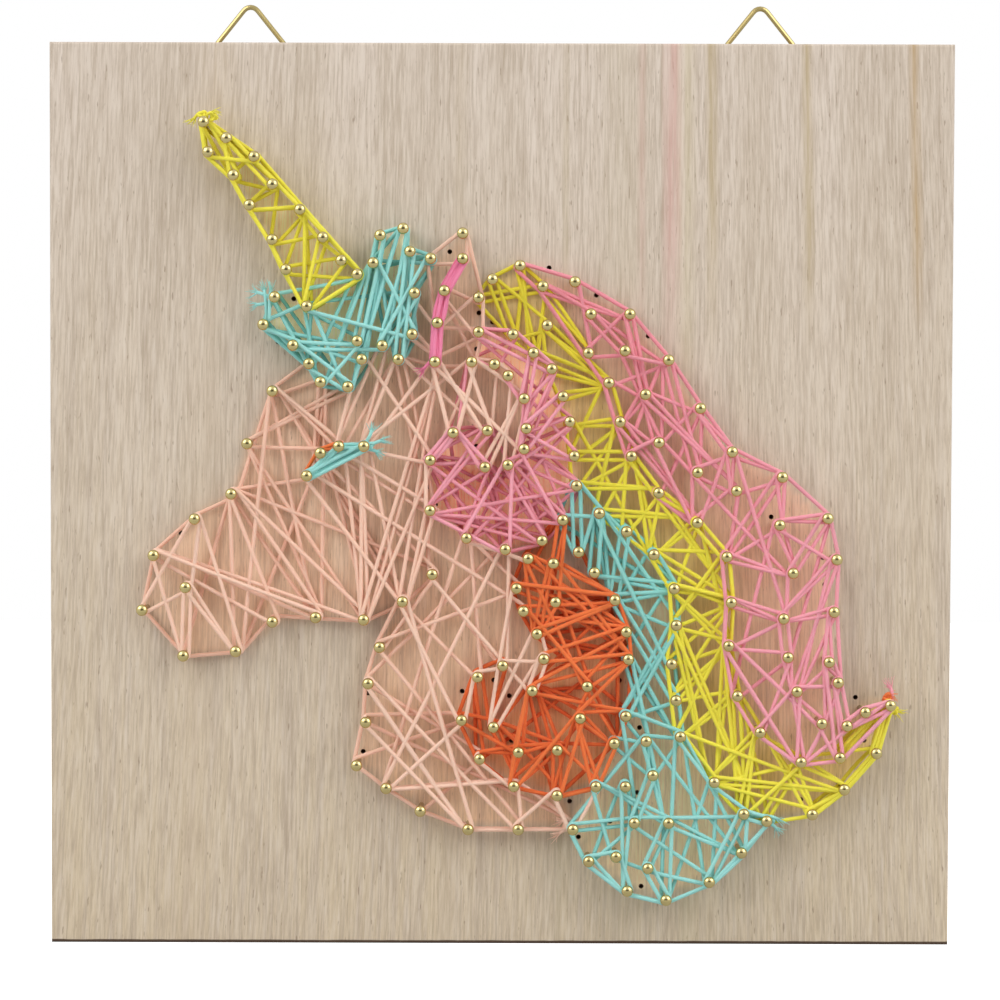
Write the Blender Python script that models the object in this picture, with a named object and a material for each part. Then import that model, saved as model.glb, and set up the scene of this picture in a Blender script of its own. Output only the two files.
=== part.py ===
"""String-art wall panel: a unicorn's head wound in coloured yarn between brass nails on a wooden board.

Frame: +X to the right, +Y towards the wall, +Z up. The board's front faces -Y, and the origin is the
middle of its bottom edge. Two wire triangles hinge in folded straps at the top of the back.

Places on the board are given on its drilling template: millimetres to the right of the left edge and
above the bottom edge.
"""
import math

import bmesh
import bpy

MM = 0.001

# Board
BOARD_SIDE = 200 * MM
BOARD_THICK = 12 * MM
EDGE_BREAK = 0.5 * MM
FRONT = -BOARD_THICK / 2
BACK = BOARD_THICK / 2

# Fits
GAP = 0.3 * MM

# Nails: round brass nails with domed heads
SHANK_RADIUS = 0.65 * MM
HEAD_RADIUS = 1.18 * MM
HEAD_HEIGHT = 1.0 * MM
NAIL_PROUD = 10 * MM
NAIL_DEPTH = 6 * MM
POINT_LENGTH = 1.6 * MM
NAIL_SIDES = 12

# Yarn webs: slabs of wound yarn, the eye and the inner ear lying over the others
WEB_INSET = 1.3 * MM
LOWER_WEB = (1.2 * MM, 4.6 * MM)
UPPER_WEB = (5.0 * MM, 7.6 * MM)

# Hangers: wire triangles held by folded brass straps
HANGER_PLACES = {"left": 43.2, "right": 158.2}
WIRE_RADIUS = 0.58 * MM
SHEET_THICK = 0.5 * MM
CURL_RADIUS = WIRE_RADIUS + GAP + SHEET_THICK / 2
AXIS_Y = BACK + GAP + SHEET_THICK / 2 + CURL_RADIUS
AXIS_Z = BOARD_SIDE - 3 * MM
RING_BASE_HALF = 11.1 * MM
RING_HEIGHT = 13.85 * MM
APEX_BEND = 2.0 * MM
CORNER_BEND = 1.8 * MM
BUTT_HALF_GAP = 0.4 * MM
STRAP_HALF_WIDTH = 4.6 * MM
STRAP_DROP = 8.5 * MM
CURL_END = math.radians(-110)

# Hanger pins: round-headed, two for each strap
PIN_RADIUS = 0.6 * MM
PIN_HEAD_RADIUS = 1.5 * MM
PIN_HEAD_HEIGHT = 0.9 * MM
PIN_DEPTH = 4.5 * MM
PIN_SPACING = 2.6 * MM
PIN_DROP = 4.6 * MM

# Corner nails of each colour, on the template
NAILS = {
    "horn": [(35, 181.5), (45, 163.5), (68.5, 148.5), (57.5, 141.5)],
    "forelock": [(78.5, 158.5), (48, 137.5), (60.5, 125), (77.5, 130)],
    "face": [(50, 123), (24, 87), (21.5, 75), (30.5, 65), (59.5, 73.5), (78.5, 77), (71, 59),
             (68.5, 41), (93, 27)],
    "ear": [(91.5, 157.5), (95, 136), (85.5, 129.5)],
    "eye": [(57.5, 104.5), (70, 111)],
    "cheek": [(102.5, 135.5), (89.5, 114), (84.5, 97)],
    "orange": [(103.5, 80), (127.5, 70.5), (91.5, 51), (103, 36.5)],
    "teal": [(116.5, 102.5), (139.5, 47.5), (116, 27), (136.5, 11.5)],
    "yellow": [(98, 147.5), (126, 116.5), (150.5, 77), (168.5, 30.5)],
    "pink": [(128, 140), (150.5, 110), (173.5, 86.5), (185.5, 54.5)],
}

# Outlines of the yarn webs, through the nails that hold them
LOWER_OUTLINES = {
    "horn": [(35, 181.5), (46, 174), (56, 162.5), (68.5, 148.5), (57.5, 141.5), (50, 156),
             (41.5, 170), (36, 175)],
    "forelock": [(50.5, 143.5), (57.5, 141.5), (68.5, 148.5), (73.5, 157), (78.5, 158.5), (84.5, 152),
                 (81, 144.5), (80.5, 135.5), (77.5, 130), (69.5, 130), (66.5, 124), (60.5, 125),
                 (54.5, 133), (48, 137.5)],
    "face": [(50, 123), (58, 127), (62, 122.5), (67, 121.5), (71, 127.5), (79, 128), (82.5, 135),
             (83.5, 149), (91.5, 157.5), (95, 143.5), (93.5, 129.5), (97.5, 127), (100, 123), (96, 115.5),
             (88, 115.5), (83, 108), (84.5, 97), (92.5, 91), (101, 88.5), (103.5, 80), (108, 70),
             (109.5, 64.5), (100.5, 63), (93, 61), (90, 51), (94, 41), (102, 35), (112.5, 33),
             (115.5, 27), (93, 27), (82.5, 31), (68.5, 41), (71, 59), (78.5, 77), (59.5, 73.5),
             (42, 66), (30.5, 65), (21.5, 75), (24, 87), (41, 100.5)],
    "cheek": [(102.5, 135.5), (107, 131.5), (111, 128), (113.5, 122), (116, 109), (116.5, 102.5),
              (113.5, 95), (109, 90.5), (101, 88.5), (92.5, 91), (84.5, 97), (84.5, 108),
              (89.5, 114), (98, 114), (103, 124), (98.5, 129)],
    "orange": [(106, 86.5), (113.5, 95), (117, 88), (125, 77.5), (127.5, 70.5), (128, 64.5),
               (127.5, 52), (125, 46), (121, 36.5), (112.5, 34.5), (103, 36.5), (95.5, 42.5),
               (91.5, 51), (95, 60.5), (100.5, 62), (107, 57.5), (111, 64.5), (108, 72),
               (103.5, 80)],
    "teal": [(116.5, 102.5), (121.5, 96.5), (133.5, 87.5), (138, 80), (138.5, 72), (137.5, 63.5),
             (139.5, 47.5), (147, 37.5), (153.5, 30.5), (158.5, 29), (153, 22), (146, 15.5),
             (136.5, 11.5), (128, 13.5), (119.5, 20), (116, 27), (121, 36.5), (125, 46),
             (127.5, 52), (128, 64.5), (127.5, 70.5), (125, 77.5), (117, 88), (113.5, 95)],
    "yellow": [(98, 147.5), (104, 150.5), (109, 146), (119, 131.5), (126, 116.5), (128.5, 109),
               (134.5, 101), (143, 94.5), (149.5, 87), (150.5, 77), (150, 67.5), (152, 56.5),
               (157, 48.5), (166, 42), (175, 43), (185, 52), (182.5, 44), (168.5, 30.5),
               (160, 29.5), (153.5, 31), (147, 37.5), (139.5, 47.5), (137.5, 63.5), (138.5, 72),
               (138, 80), (133.5, 87.5), (121.5, 96.5), (116.5, 102.5), (116, 109), (113.5, 122),
               (111, 128), (107, 131.5), (102.5, 135.5), (95.5, 143)],
    "pink": [(104, 150.5), (116, 147), (128, 140), (136.5, 130), (143.5, 119.5), (150.5, 110),
             (161.5, 104.5), (171.5, 95.5), (173.5, 86.5), (172, 64), (176, 50), (174.5, 43),
             (166, 42), (157, 48.5), (152, 56.5), (150, 67.5), (150.5, 77), (149.5, 87),
             (143, 94.5), (134.5, 101), (128.5, 109), (126, 116.5), (119, 131.5), (109, 146)],
}
UPPER_OUTLINES = {
    "eye": [(54.5, 102.5), (59, 101.5), (65, 106), (73, 107.5), (73.5, 114), (64, 114.5),
            (58, 112.5), (54.5, 107)],
    "inner_ear": [(89, 155), (95, 153), (91, 140), (89.5, 126.5), (82, 126.5), (82.5, 136),
                  (85, 146)],
}

COLOURS = {
    "wood": ((0.58, 0.49, 0.36, 1), 0.7, 0.0),
    "brass": ((0.80, 0.62, 0.30, 1), 0.25, 1.0),
    "horn": ((0.82, 0.72, 0.04, 1), 0.9, 0.0),
    "forelock": ((0.20, 0.65, 0.62, 1), 0.9, 0.0),
    "face": ((0.92, 0.50, 0.32, 1), 0.9, 0.0),
    "cheek": ((0.85, 0.22, 0.32, 1), 0.9, 0.0),
    "orange": ((0.80, 0.13, 0.03, 1), 0.9, 0.0),
    "teal": ((0.20, 0.65, 0.62, 1), 0.9, 0.0),
    "yellow": ((0.82, 0.72, 0.04, 1), 0.9, 0.0),
    "pink": ((0.88, 0.28, 0.34, 1), 0.9, 0.0),
    "eye": ((0.20, 0.65, 0.62, 1), 0.9, 0.0),
    "inner_ear": ((0.85, 0.20, 0.35, 1), 0.9, 0.0),
}


def clear_scene():
    """Remove whatever the scene holds."""
    for item in list(bpy.data.objects):
        bpy.data.objects.remove(item)


def material(name):
    """The plain Principled material of one colour."""
    if name in bpy.data.materials:
        return bpy.data.materials[name]
    colour, roughness, metallic = COLOURS[name]
    made = bpy.data.materials.new(name)
    made.use_nodes = True
    shader = made.node_tree.nodes["Principled BSDF"]
    shader.inputs["Base Color"].default_value = colour
    shader.inputs["Roughness"].default_value = roughness
    shader.inputs["Metallic"].default_value = metallic
    return made


def new_object(name, mesh, finish, location=(0, 0, 0)):
    """Put a mesh or curve into the scene as a named object with its material."""
    made = bpy.data.objects.new(name, mesh)
    made.location = location
    if finish:
        mesh.materials.append(material(finish))
    bpy.context.scene.collection.objects.link(made)
    return made


def mesh_from(bm, name):
    """Close off a bmesh as a mesh whose faces point out."""
    bmesh.ops.recalc_face_normals(bm, faces=bm.faces)
    mesh = bpy.data.meshes.new(name)
    bm.to_mesh(mesh)
    bm.free()
    return mesh


def on_board(place):
    """Template millimetres to X and Z in metres."""
    across, up = place
    return across * MM - BOARD_SIDE / 2, up * MM


def turned_mesh(name, profile, sides, towards):
    """A solid of revolution about Y: profile lists (radius, depth along towards*Y), pole to pole."""
    bm = bmesh.new()
    rings = []
    for radius, depth in profile:
        if radius == 0:
            rings.append([bm.verts.new((0, towards * depth, 0))])
            continue
        turn = [2 * math.pi * side / sides for side in range(sides)]
        rings.append([bm.verts.new((radius * math.cos(a), towards * depth, radius * math.sin(a)))
                      for a in turn])
    for first, second in zip(rings, rings[1:]):
        for side in range(sides):
            after = (side + 1) % sides
            corners = [first[side % len(first)], first[after % len(first)],
                       second[after % len(second)], second[side % len(second)]]
            bm.faces.new(list(dict.fromkeys(corners)))
    mesh = mesh_from(bm, name)
    mesh.shade_smooth()
    mesh.set_sharp_from_angle(angle=math.radians(40))
    return mesh


def dome(radius, height, steps):
    """Half an ellipse from the pole out to the rim, as (radius, depth) pairs."""
    turn = [math.pi / 2 * step / steps for step in range(steps + 1)]
    return [(radius * math.sin(a), height * (1 - math.cos(a))) for a in turn]


def nail_profile():
    """A nail from the top of its head to its point."""
    total = NAIL_PROUD + NAIL_DEPTH
    tip = [(SHANK_RADIUS, HEAD_HEIGHT), (SHANK_RADIUS, total - POINT_LENGTH), (0, total)]
    return dome(HEAD_RADIUS, HEAD_HEIGHT, 4) + tip


def pin_profile():
    """A hanger pin from the top of its head to its flat end."""
    end = PIN_HEAD_HEIGHT + GAP + SHEET_THICK + GAP + PIN_DEPTH
    return dome(PIN_HEAD_RADIUS, PIN_HEAD_HEIGHT, 4) + [(PIN_RADIUS, PIN_HEAD_HEIGHT), (PIN_RADIUS, end),
                                                        (0, end)]


def cutter(name, centres, radius, y_from, y_to):
    """One hidden object holding a cylinder along Y at each centre, for Boolean cuts."""
    bm = bmesh.new()
    for x, z in centres:
        made = bmesh.ops.create_cone(bm, cap_ends=True, segments=NAIL_SIDES, radius1=radius,
                                     radius2=radius, depth=y_to - y_from)
        for vert in made["verts"]:
            across, along, height = vert.co
            vert.co = (x + across, (y_from + y_to) / 2 + height, z - along)
    made = new_object(name, mesh_from(bm, name), None)
    made.hide_render = True
    made.display_type = "WIRE"
    return made


def cut(target, tool):
    """Subtract the tool from the target."""
    step = target.modifiers.new("cut_" + tool.name, "BOOLEAN")
    step.operation = "DIFFERENCE"
    step.object = tool


def nail_centres():
    """X and Z of every modelled nail."""
    return [on_board(place) for places in NAILS.values() for place in places]


def pin_centres(place):
    """X and Z of the two pins of the hanger at a template place."""
    x = place * MM - BOARD_SIDE / 2
    return [(x - PIN_SPACING, AXIS_Z - PIN_DROP), (x + PIN_SPACING, AXIS_Z - PIN_DROP)]


def make_board():
    """The square board, edges eased, with a blind hole for each nail and pin."""
    bm = bmesh.new()
    bmesh.ops.create_cube(bm, size=1)
    for vert in bm.verts:
        x, y, z = vert.co
        vert.co = (x * BOARD_SIDE, y * BOARD_THICK, (z + 0.5) * BOARD_SIDE)
    bmesh.ops.bevel(bm, geom=list(bm.edges), offset=EDGE_BREAK, segments=2, profile=0.5,
                    affect="EDGES")
    board = new_object("board", mesh_from(bm, "board"), "wood")
    over = 1 * MM
    cut(board, cutter("nail_holes", nail_centres(), SHANK_RADIUS + GAP, FRONT - over,
                      FRONT + NAIL_DEPTH + GAP))
    centres = [centre for place in HANGER_PLACES.values() for centre in pin_centres(place)]
    cut(board, cutter("pin_holes", centres, PIN_RADIUS + GAP, BACK - PIN_DEPTH - GAP, BACK + over))


def make_nails():
    """One nail object at each corner, named by its colour."""
    mesh = turned_mesh("nail", nail_profile(), NAIL_SIDES, 1)
    mesh.materials.append(material("brass"))
    for area, places in NAILS.items():
        for number, place in enumerate(places, 1):
            x, z = on_board(place)
            new_object(f"nail_{area}_{number}", mesh, None, (x, FRONT - NAIL_PROUD, z))


def make_web(name, outline, levels, nail_cutter):
    """A slab of wound yarn inside its outline, between two heights above the board's front."""
    low, high = levels
    bm = bmesh.new()
    corners = []
    for place in outline:
        x, z = on_board(place)
        corners.append(bm.verts.new((x, FRONT - low, z)))
    face = bm.faces.new(corners)
    face.normal_update()
    rim = bmesh.ops.inset_region(bm, faces=[face], thickness=WEB_INSET, use_even_offset=True)
    bmesh.ops.delete(bm, geom=rim["faces"], context="FACES")
    lifted = bmesh.ops.extrude_face_region(bm, geom=list(bm.faces))
    for item in lifted["geom"]:
        if isinstance(item, bmesh.types.BMVert):
            item.co.y = FRONT - high
    web = new_object(name + "_yarn", mesh_from(bm, name), name)
    cut(web, nail_cutter)


def make_webs():
    """The ten yarn webs, each pierced where nails pass through it."""
    low = FRONT - UPPER_WEB[1] - GAP
    nail_cutter = cutter("nail_clearance", nail_centres(), SHANK_RADIUS + GAP, low, FRONT)
    for name, outline in LOWER_OUTLINES.items():
        make_web(name, outline, LOWER_WEB, nail_cutter)
    for name, outline in UPPER_OUTLINES.items():
        make_web(name, outline, UPPER_WEB, nail_cutter)


def bend(before, corner, after, radius, steps):
    """Points of the arc that rounds one corner of a path in the X-Z plane."""
    to_before = math.atan2(before[1] - corner[1], before[0] - corner[0])
    to_after = math.atan2(after[1] - corner[1], after[0] - corner[0])
    opening = math.remainder(to_after - to_before, 2 * math.pi)
    half = abs(opening) / 2
    middle = to_before + opening / 2
    centre_x = corner[0] + radius / math.sin(half) * math.cos(middle)
    centre_z = corner[1] + radius / math.sin(half) * math.sin(middle)
    swing = math.copysign(math.pi / 2 - half, opening)
    points = []
    for step in range(steps + 1):
        turn = middle + math.pi + swing * (1 - 2 * step / steps)
        points.append((centre_x + radius * math.cos(turn), centre_z + radius * math.sin(turn)))
    return points


def ring_route():
    """The wire's centreline about the hinge axis: along the base, over the apex and back."""
    start = (BUTT_HALF_GAP, 0)
    right = (RING_BASE_HALF, 0)
    apex = (0, RING_HEIGHT)
    left = (-RING_BASE_HALF, 0)
    end = (-BUTT_HALF_GAP, 0)
    return ([start] + bend(start, right, apex, CORNER_BEND, 5) + bend(right, apex, left, APEX_BEND, 6)
            + bend(apex, left, end, CORNER_BEND, 5) + [end])


def make_ring(side, x):
    """A wire triangle whose cut ends meet inside the strap; its origin is on the hinge axis."""
    curve = bpy.data.curves.new(f"hanger_ring_{side}", "CURVE")
    curve.dimensions = "3D"
    curve.bevel_depth = WIRE_RADIUS
    curve.bevel_resolution = 3
    curve.use_fill_caps = True
    route = ring_route()
    spline = curve.splines.new("POLY")
    spline.points.add(len(route) - 1)
    for point, (across, up) in zip(spline.points, route):
        point.co = (across, 0, up, 1)
    new_object(f"hanger_ring_{side}", curve, "brass", (x, AXIS_Y, AXIS_Z))


def strap_section():
    """The folded sheet's outline in Y-Z about the hinge axis: a flat leaf and its curl."""
    steps = 14
    half = SHEET_THICK / 2
    turns = [math.pi + (CURL_END - math.pi) * step / steps for step in range(steps + 1)]
    outer = [((CURL_RADIUS + half) * math.cos(a), (CURL_RADIUS + half) * math.sin(a)) for a in turns]
    inner = [((CURL_RADIUS - half) * math.cos(a), (CURL_RADIUS - half) * math.sin(a)) for a in turns]
    foot = [(-CURL_RADIUS - half, -STRAP_DROP), (-CURL_RADIUS + half, -STRAP_DROP)]
    return foot[:1] + outer + inner[::-1] + foot[1:]


def make_strap(side, x, place):
    """A brass strap folded round the ring's base bar, with a hole for each pin."""
    bm = bmesh.new()
    corners = [bm.verts.new((-STRAP_HALF_WIDTH, y, z)) for y, z in strap_section()]
    face = bm.faces.new(corners)
    lifted = bmesh.ops.extrude_face_region(bm, geom=[face])
    for item in lifted["geom"]:
        if isinstance(item, bmesh.types.BMVert):
            item.co.x = STRAP_HALF_WIDTH
    strap = new_object(f"hanger_strap_{side}", mesh_from(bm, "strap"), "brass", (x, AXIS_Y, AXIS_Z))
    tool = cutter(f"strap_holes_{side}", pin_centres(place), PIN_RADIUS + GAP, BACK, BACK + 2 * MM)
    cut(strap, tool)


def make_hangers():
    """Both hangers: ring, strap and two pins each."""
    pin = turned_mesh("pin", pin_profile(), NAIL_SIDES, -1)
    pin.materials.append(material("brass"))
    head_top = BACK + GAP + SHEET_THICK + GAP + PIN_HEAD_HEIGHT
    for side, place in HANGER_PLACES.items():
        x = place * MM - BOARD_SIDE / 2
        make_ring(side, x)
        make_strap(side, x, place)
        for number, (pin_x, pin_z) in enumerate(pin_centres(place), 1):
            new_object(f"hanger_pin_{side}_{number}", pin, None, (pin_x, head_top, pin_z))


clear_scene()
make_board()
make_nails()
make_webs()
make_hangers()
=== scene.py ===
"""The looks of a string-art wall panel: yarn wound on brass nails in a pale wooden board.

Places on the board are in millimetres from its left edge and its bottom edge, and every mesh is in
metres, in the CAD frame: x to the right, y into the board, z up.
"""
import math
import random

import bpy
import numpy as np
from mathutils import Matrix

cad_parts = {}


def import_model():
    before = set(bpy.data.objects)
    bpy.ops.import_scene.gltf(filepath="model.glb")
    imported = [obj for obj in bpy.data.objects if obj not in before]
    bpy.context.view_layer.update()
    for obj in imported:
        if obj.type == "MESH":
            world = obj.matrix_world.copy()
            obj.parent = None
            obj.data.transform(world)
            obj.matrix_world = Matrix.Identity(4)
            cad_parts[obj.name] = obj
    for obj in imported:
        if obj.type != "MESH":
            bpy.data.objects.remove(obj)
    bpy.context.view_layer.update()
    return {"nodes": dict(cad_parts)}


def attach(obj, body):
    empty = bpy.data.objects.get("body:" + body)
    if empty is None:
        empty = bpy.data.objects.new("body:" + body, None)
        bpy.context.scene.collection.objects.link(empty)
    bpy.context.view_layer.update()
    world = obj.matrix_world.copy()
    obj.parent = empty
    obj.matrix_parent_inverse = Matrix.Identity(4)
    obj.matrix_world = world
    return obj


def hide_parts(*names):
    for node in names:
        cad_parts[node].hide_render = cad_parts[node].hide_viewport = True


MM = 0.001
SEED = 7

# ---- the board, in mm ----
BOARD = 200.0
FRONT = -6.0
BACK = 6.0
EDGE_EASE = 0.5
EDGE_WEAR = 0.08
# the board's mesh has rows at these distances in from a side, and then every CELL
EDGE_LINES = (0.0, 0.15, 0.5)
CELL = 2.0

# ---- the nails, in mm: as in the CAD, with heads 0.1 mm larger in radius ----
SHANK_R = 0.65
HEAD_R = 1.28
HEAD_HEIGHT = 1.0
HEAD_RIM = 0.14
PROUD = 10.0
DEEP = 6.0
POINT = 1.6
HEAD_SEGMENTS = 24
DOME_ROWS = 8

# ---- the yarn, in mm ----
YARN_R = 0.44
AROUND = 12
RING_STEP = 0.8
PLIES = 3
LOBE = 0.07
TWIST_PITCH = 6.3
# the way round a nail: the yarn is pulled tight and flattened there, and one run lies up to
# WRAP_SPREAD further out than another. Angles are in radians.
WRAP_R = 0.80
WRAP_SPREAD = 0.16
END_WRAP = 2.4
ARC_STEP = math.radians(24)
NO_TURN = 1.9 * math.pi
# the sine of the bend below which a row of nails counts as straight
ALMOST_STRAIGHT = 0.34
# slack in a strand, as a share of its length, and its lowest height
MOST_BOW = 0.004
MOST_DIP = 0.010
LOWEST = 0.6
# the fibres of a frayed end, and the size of a knot
FIBRES = 16
FIBRE_R = 0.10
FIBRE_REACH = 3.0
FIBRE_SPREAD = 0.6
FIBRE_CURL = 0.35
FIBRE_START = 0.28
KNOT_STEPS = 36
KNOT_LENGTH = 0.30
KNOT_WIDTH = 0.24
KNOT_RISE = 0.30

# nail places, as x,z in mm, by the area that they outline
NAILS = {
    "h": """
    35,181.5 40,178 46,174 50,168 56,162.5 61,156.5 65,151.5 68.5,148.5 36,175 41.5,170 45,163.5
    50,156 53,149.5 57.5,141.5""",
    "l": """
    50.5,143.5 48,137.5 54.5,133 58,129 60.5,125 66.5,124 69.5,130 68.5,134 74,133 77.5,130
    80.5,135.5 81,144.5 84.5,152 80,153.5 78.5,158.5 73.5,157 72,151""",
    "f": """
    50,123 44.5,111.5 41,100.5 33,95 24,87 21.5,75 31,80 30.5,65 42,66 50,72.5 59.5,73.5 70,73
    78.5,77 85,83 73.5,67 71,59 70.5,50.5 68.5,41 75,36 82.5,31 93,27 104,27""",
    "e": """
    91.5,157.5 91.5,152 87.5,145 86,138 85.5,129.5 95,143.5 95,136 93.5,129.5""",
    "i": """
    57.5,104.5 60.5,109.5 64.5,111 70,111""",
    "c": """
    89.5,114 97,114.5 96.5,106.5 101.5,107 84.5,108 84.5,97 92.5,91 101,88.5 109,90.5 113.5,95
    98.5,129 101.5,126.5 105,121.5 105.5,115 105,110.5 102.5,135.5 107,131.5 111,128 113.5,122
    115,116.5 116,109 116.5,102.5""",
    "o": """
    106,86.5 103.5,80 105,75 108,70 109.5,64.5 107,57.5 100.5,63 95,60.5 91.5,51 95.5,42.5
    103,36.5 104,44 98.5,49.5 112.5,34.5 112.5,44.5 117.5,51.5 119,58.5 112,77 111.5,85.5""",
    "t": """
    117,88 120.5,83.5 125,77.5 127.5,70.5 128,64.5 127.5,52 125,46 121,36.5 127.5,36.5 116,27
    119.5,20 125.5,21 128,13.5 132.5,18.5 136.5,11.5 146,15.5 153,22 129.5,28.5 137,28.5
    133.5,39 132,46.5""",
    "y": """
    98,147.5 104,150.5 109,146 110,137.5 119,131.5 123.5,125 126,116.5 128.5,109 134.5,101
    143,94.5 149.5,87 150.5,77 150,67.5 152,56.5 157,48.5 166,42 174.5,43 182.5,44 175.5,36
    168.5,30.5 158.5,29 153.5,30.5 147,37.5 139.5,47.5 138.5,55.5 137.5,63.5 138.5,72 138,80
    133.5,87.5 127.5,92.5 121.5,96.5""",
    "p": """
    116,147 128,140 136.5,130 143.5,119.5 150.5,110 161.5,104.5 171.5,95.5 173.5,86.5 173,75
    172,64 174,59.5 176,50 180,53 185.5,54.5 170.5,50.5 165,57.5 163,65 162,73.5 164,83.5 161,94
    151.5,101.5 143,105.5 134.5,112 131.5,122.5 127,132 119.5,140""",
}
NAIL_PIECES = {
    "h": "horn", "l": "forelock", "f": "face", "e": "ear", "i": "eye",
    "c": "cheek", "o": "orange", "t": "teal", "y": "yellow", "p": "pink",
}

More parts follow.
